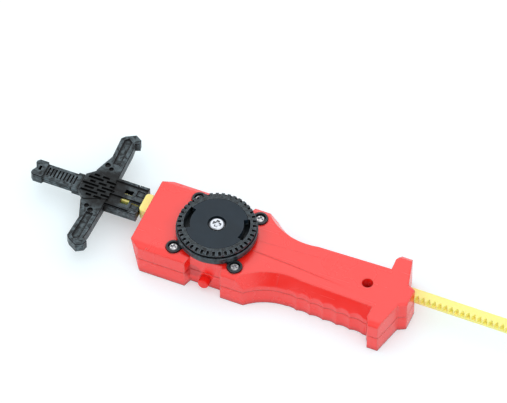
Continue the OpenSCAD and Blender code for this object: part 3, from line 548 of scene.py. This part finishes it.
class LAUNCHER_OT_turntable(bpy.types.Operator):
    """Finishes the black turntable base, the driver's rim and its smooth face"""

    bl_idname = "launcher.turntable"
    bl_label = "Turntable and driver"

    def execute(self, context):
        colours, edges = context.scene.launcher_colours, context.scene.launcher_edges
        # Deep tone of the swirl and of painted shade, and the lighter tone of edge wear and painted
        # highlight
        deep_and_shade, wear_and_highlight = (0.015, 0.02, 0.025), colours.black_wear_and_highlight
        # Deep slate of the swirl and of painted shade
        slate_deep_and_shade = (0.05, 0.08, 0.1)
        black = plastic(
            "turntable_plastic",
            (colours.black, deep_and_shade, wear_and_highlight),
            edges.driver,
            roughness=0.36,
            gloss=0.4,
            grain=0.3,
        )
        grey = plastic(
            "driver_rim_plastic",
            (colours.rim, deep_and_shade, wear_and_highlight),
            edges.rim,
            roughness=0.3,
            gloss=0.35,
            grain=0.3,
            wear_and_highlight_amount=1.0,
            swirl=0.9,
            swirl_scale=520.0,
            reach=1.4 * MM,
            corner_shade=1.0,
        )
        face = plastic(
            "driver_face_plastic",
            (colours.slate, slate_deep_and_shade, wear_and_highlight),
            edges.driver,
            roughness=0.42,
            gloss=0.34,
            grain=0.12,
            swirl=0.3,
            rings=0.15,
        )
        finish_nodes(black, "turntable_base", "pawl_ring")
        finish_nodes(grey, "driver_rim")
        finish_nodes(face, "driver_disc")
        return {"FINISHED"}


class LAUNCHER_OT_blade(bpy.types.Operator):
    """Finishes the yellow toothed blade"""

    bl_idname = "launcher.blade"
    bl_label = "Toothed blade"

    def execute(self, context):
        colours, edges = context.scene.launcher_colours, context.scene.launcher_edges
        # Lighter yellow of edge wear and painted highlight
        wear_and_highlight = (1.0, 0.98, 0.7)
        yellow = plastic(
            "blade_plastic",
            (colours.yellow, colours.ochre_swirl_and_shade, wear_and_highlight),
            edges.blade,
            roughness=0.28,
            grain=0.12,
            wear_and_highlight_amount=0.4,
            swirl=0.06,
            reach=0.9 * MM,
            corner_shade=0.15,
        )
        skin = yellow.node_tree.nodes["Principled BSDF"]
        skin.inputs["Subsurface Weight"].default_value = 0.5
        skin.inputs["Subsurface Radius"].default_value = (1.0, 0.85, 0.35)
        skin.inputs["Subsurface Scale"].default_value = 1.5 * MM
        finish_nodes(yellow, "rack_blade")
        return {"FINISHED"}


class LAUNCHER_OT_hilt(bpy.types.Operator):
    """Finishes the two halves of the sword hilt"""

    bl_idname = "launcher.hilt"
    bl_label = "Sword hilt"

    def execute(self, context):
        colours, edges = context.scene.launcher_colours, context.scene.launcher_edges
        # Deep tone of the swirl and of painted shade, and the lighter tone of edge wear and painted
        # highlight
        deep_and_shade, wear_and_highlight = (0.006, 0.008, 0.009), (0.62, 0.66, 0.7)
        # Middle of the painted shade round the guard's slots
        guard_shade_middle = (-0.068, 0.0083, 0.0135)
        # No spot is as open as this, so even the bare faces get half of the painted shade's deep tone
        more_than_open = 1.13
        charcoal = plastic(
            "hilt_plastic",
            (colours.charcoal, deep_and_shade, wear_and_highlight),
            edges.hilt,
            roughness=0.36,
            gloss=0.25,
            grain=0.35,
            wear_and_highlight_amount=1.0,
            swirl=0.9,
            swirl_scale=420.0,
            reach=2.0 * MM,
            corner_shade=1.0,
            openness=more_than_open,
            painted_shade_patch=(guard_shade_middle, 15.5 * MM, 0.86),
        )
        finish_nodes(charcoal, "hilt_upper_shell", "hilt_lower_shell")
        return {"FINISHED"}


class LAUNCHER_OT_gear_train(bpy.types.Operator):
    """Finishes the natural plastic gears and bushes inside the body"""

    bl_idname = "launcher.gear_train"
    bl_label = "Gear train"

    def execute(self, context):
        colours, edges = context.scene.launcher_colours, context.scene.launcher_edges
        # Deep tone of the swirl and of painted shade, and the lighter tone of edge wear and painted
        # highlight
        deep_and_shade, wear_and_highlight = (0.66, 0.62, 0.52), (0.98, 0.97, 0.94)
        ivory = plastic(
            "gear_plastic",
            (colours.ivory, deep_and_shade, wear_and_highlight),
            edges.fine,
            roughness=0.33,
            grain=0.12,
            wear_and_highlight_amount=0.4,
            swirl=0.3,
        )
        finish_nodes(ivory, "pinion_gear", "ratchet_wheel", "lower_bush", "upper_bush")
        return {"FINISHED"}


def spring_coil(material):
    """The button's spring again, as a piece of its own carried by the launcher body."""
    coil = bpy.data.objects.new("button_spring_coil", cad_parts["button_spring"].data.copy())
    bpy.context.scene.collection.objects.link(coil)
    coat(coil, material)
    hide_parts("button_spring")
    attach(coil, "launcher")
    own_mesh(coil)


class LAUNCHER_OT_metal_parts(bpy.types.Operator):
    """Finishes the screws, washer, shaft and spring"""

    bl_idname = "launcher.metal_parts"
    bl_label = "Screws, shaft and spring"

    def execute(self, context):
        colours, edges = context.scene.launcher_colours, context.scene.launcher_edges
        # Colours of the painted shade in the recesses
        steel_shade = (0.16, 0.16, 0.17)
        zinc, zinc_shade = (0.97, 0.96, 0.96), (0.68, 0.68, 0.7)
        plated = metal("plated_steel", colours.steel, steel_shade, edges.fine, roughness=0.34)
        bright = metal("bright_steel", zinc, zinc_shade, edges.fine, roughness=0.3, metallic=0.6)
        finish_nodes(
            plated, "grip_screw", "hilt_screws", "centre_screw", "centre_washer", "drive_shaft"
        )
        finish_nodes(bright, "corner_screws")
        spring_coil(plated)
        return {"FINISHED"}


# Stage


class LAUNCHER_OT_stage(bpy.types.Operator):
    """Sets the pale floor, the soft lamps and the camera"""

    bl_idname = "launcher.stage"
    bl_label = "Stage"

    def execute(self, context):
        scene, studio = context.scene, context.scene.launcher_studio
        scene.view_settings.view_transform = "Standard"
        set_floor(studio)
        set_sky(scene, studio)
        set_lamps(studio)
        set_camera(scene, studio)
        return {"FINISHED"}


def seen_directly(tree):
    """1 for rays that look at a surface straight, in a reflection or through glass."""
    path = add(tree, "ShaderNodeLightPath")
    camera, glossy = path.outputs["Is Camera Ray"], path.outputs["Is Glossy Ray"]
    mirrored = math_node(tree, "MAXIMUM", camera, glossy)
    return math_node(tree, "MAXIMUM", mirrored, path.outputs["Is Transmission Ray"])


def set_floor(studio):
    """A wide pale table with a faint mottle, lifted to white for rays that see it directly."""
    width, drop = 12.0, 0.2 * MM
    mottle_span, mottle_depth, dimming = (0.3, 0.7), 0.12, 0.97
    bpy.ops.mesh.primitive_plane_add(size=width, location=(0.0, 0.0, -drop))
    floor = bpy.context.object
    floor.name = "studio_floor"
    material, tree, skin = new_material("studio_floor")
    skin.inputs["Roughness"].default_value = 0.85
    skin.inputs["Specular IOR Level"].default_value = 0.1
    where = add(tree, "ShaderNodeTexCoord")
    mottle = add(tree, "ShaderNodeTexNoise", {"Scale": 3.0, "Detail": 2.0})
    tree.links.new(where.outputs["Object"], mottle.inputs["Vector"])
    faint = spread(tree, mottle.outputs["Fac"], *mottle_span, 0.0, mottle_depth)
    dimmer = tuple(part * dimming for part in studio.floor)
    paint = blend_colour(tree, faint, linear(studio.floor), linear(dimmer))
    tree.links.new(paint, skin.inputs["Base Color"])
    glow = math_node(tree, "MULTIPLY", seen_directly(tree), studio.glow)
    skin.inputs["Emission Color"].default_value = (1.0, 1.0, 1.0, 1.0)
    tree.links.new(glow, skin.inputs["Emission Strength"])
    floor.data.materials.append(material)


def towards(tree, direction):
    """How nearly a ray of the sky points in a direction, as the angle's cosine."""
    where = add(tree, "ShaderNodeTexCoord")
    away = add(tree, "ShaderNodeVectorMath", operation="DOT_PRODUCT")
    tree.links.new(where.outputs["Generated"], away.inputs[0])
    away.inputs[1].default_value = direction
    return away.outputs["Value"]


def set_sky(scene, studio):
    """White where it is seen, brighter in front where it lights, and with a dark gap in reflections."""
    world = bpy.data.worlds.new("studio_sky")
    world.use_nodes = True
    tree = world.node_tree
    back = tree.nodes["Background"]
    back.inputs["Color"].default_value = (0.97, 0.98, 1.0, 1.0)
    path = add(tree, "ShaderNodeLightPath")
    lit = spread(tree, towards(tree, FRONT), 0.0, 1.0, studio.sky, studio.sky + studio.front)
    mirrored = spread(tree, towards(tree, DARK_GAP), GAP_RIM, GAP_CORE, 1.0, studio.gap)
    rest = blend_number(tree, path.outputs["Is Glossy Ray"], lit, mirrored)
    camera, through = path.outputs["Is Camera Ray"], path.outputs["Is Transmission Ray"]
    straight = math_node(tree, "MAXIMUM", camera, through)
    tree.links.new(blend_number(tree, straight, rest, 1.0), back.inputs["Strength"])
    scene.world = world


def add_lamp(name, spot, aim, size, power):
    """A round soft lamp at a spot, turned to what it lights."""
    data = bpy.data.lights.new(name, "AREA")
    data.shape = "DISK"
    data.size = size
    data.energy = power
    lamp = bpy.data.objects.new(name, data)
    bpy.context.scene.collection.objects.link(lamp)
    lamp.location = spot
    lamp.rotation_mode = "QUATERNION"
    lamp.rotation_quaternion = (Vector(aim) - Vector(spot)).to_track_quat("-Z", "Y")


def set_lamps(studio):
    """The large lamp high behind the object, and a weaker one by the camera."""
    middle = (0.02, 0.0, 0.0)
    key_distance, key_size = 1.5, 1.2
    key_spot = tuple(key_distance * part for part in WINDOW)
    fill_spot, fill_size = (0.5, -0.9, 1.2), 0.9
    add_lamp("key_lamp", key_spot, middle, key_size, studio.key)
    add_lamp("fill_lamp", fill_spot, middle, fill_size, studio.fill)


def set_camera(scene, studio):
    """A long lens far off, at the photograph's viewing angle."""
    turn, rise = studio.azimuth, studio.elevation
    level = math.cos(rise)
    back = Vector((math.sin(turn) * level, -math.cos(turn) * level, math.sin(rise)))
    data = bpy.data.cameras.new("photo_camera")
    data.sensor_width = 36.0
    data.lens = data.sensor_width * studio.distance / studio.view_width
    data.clip_start, data.clip_end = 0.1, 20.0
    camera = bpy.data.objects.new("photo_camera", data)
    scene.collection.objects.link(camera)
    camera.location = Vector(studio.aim) + back * studio.distance
    camera.rotation_mode = "QUATERNION"
    camera.rotation_quaternion = (-back).to_track_quat("-Z", "Y")
    scene.camera = camera


# Add-on


GROUPS = {
    "launcher_colours": LauncherColours,
    "launcher_edges": LauncherEdges,
    "launcher_studio": LauncherStudio,
}
OPERATORS = (
    LAUNCHER_OT_body_shells,
    LAUNCHER_OT_side_button,
    LAUNCHER_OT_turntable,
    LAUNCHER_OT_blade,
    LAUNCHER_OT_hilt,
    LAUNCHER_OT_gear_train,
    LAUNCHER_OT_metal_parts,
    LAUNCHER_OT_stage,
)


class LAUNCHER_PT_sidebar(bpy.types.Panel):
    """Lists the launcher's operators and settings"""

    bl_idname = "LAUNCHER_PT_sidebar"
    bl_label = "Spinning top launcher"
    bl_space_type = "VIEW_3D"
    bl_region_type = "UI"
    bl_category = "Launcher"

    def draw(self, context):
        for operator in OPERATORS:
            self.layout.operator(operator.bl_idname)
        for label in GROUPS:
            group = getattr(context.scene, label)
            column = self.layout.column(align=True)
            for name in group.__annotations__:
                column.prop(group, name)


CLASSES = (*GROUPS.values(), *OPERATORS, LAUNCHER_PT_sidebar)


def register():
    """Adds the classes, and the settings of a scene."""
    for cls in CLASSES:
        bpy.utils.register_class(cls)
    for name, group in GROUPS.items():
        setattr(bpy.types.Scene, name, PointerProperty(type=group))


def unregister():
    """Takes the settings and the classes away again."""
    for name in GROUPS:
        delattr(bpy.types.Scene, name)
    for cls in reversed(CLASSES):
        bpy.utils.unregister_class(cls)


def main():
    """Builds every piece and the stage."""
    register()
    for operator in OPERATORS:
        getattr(bpy.ops.launcher, operator.bl_idname.split(".")[1])()


if __name__ == "__main__":
    main()
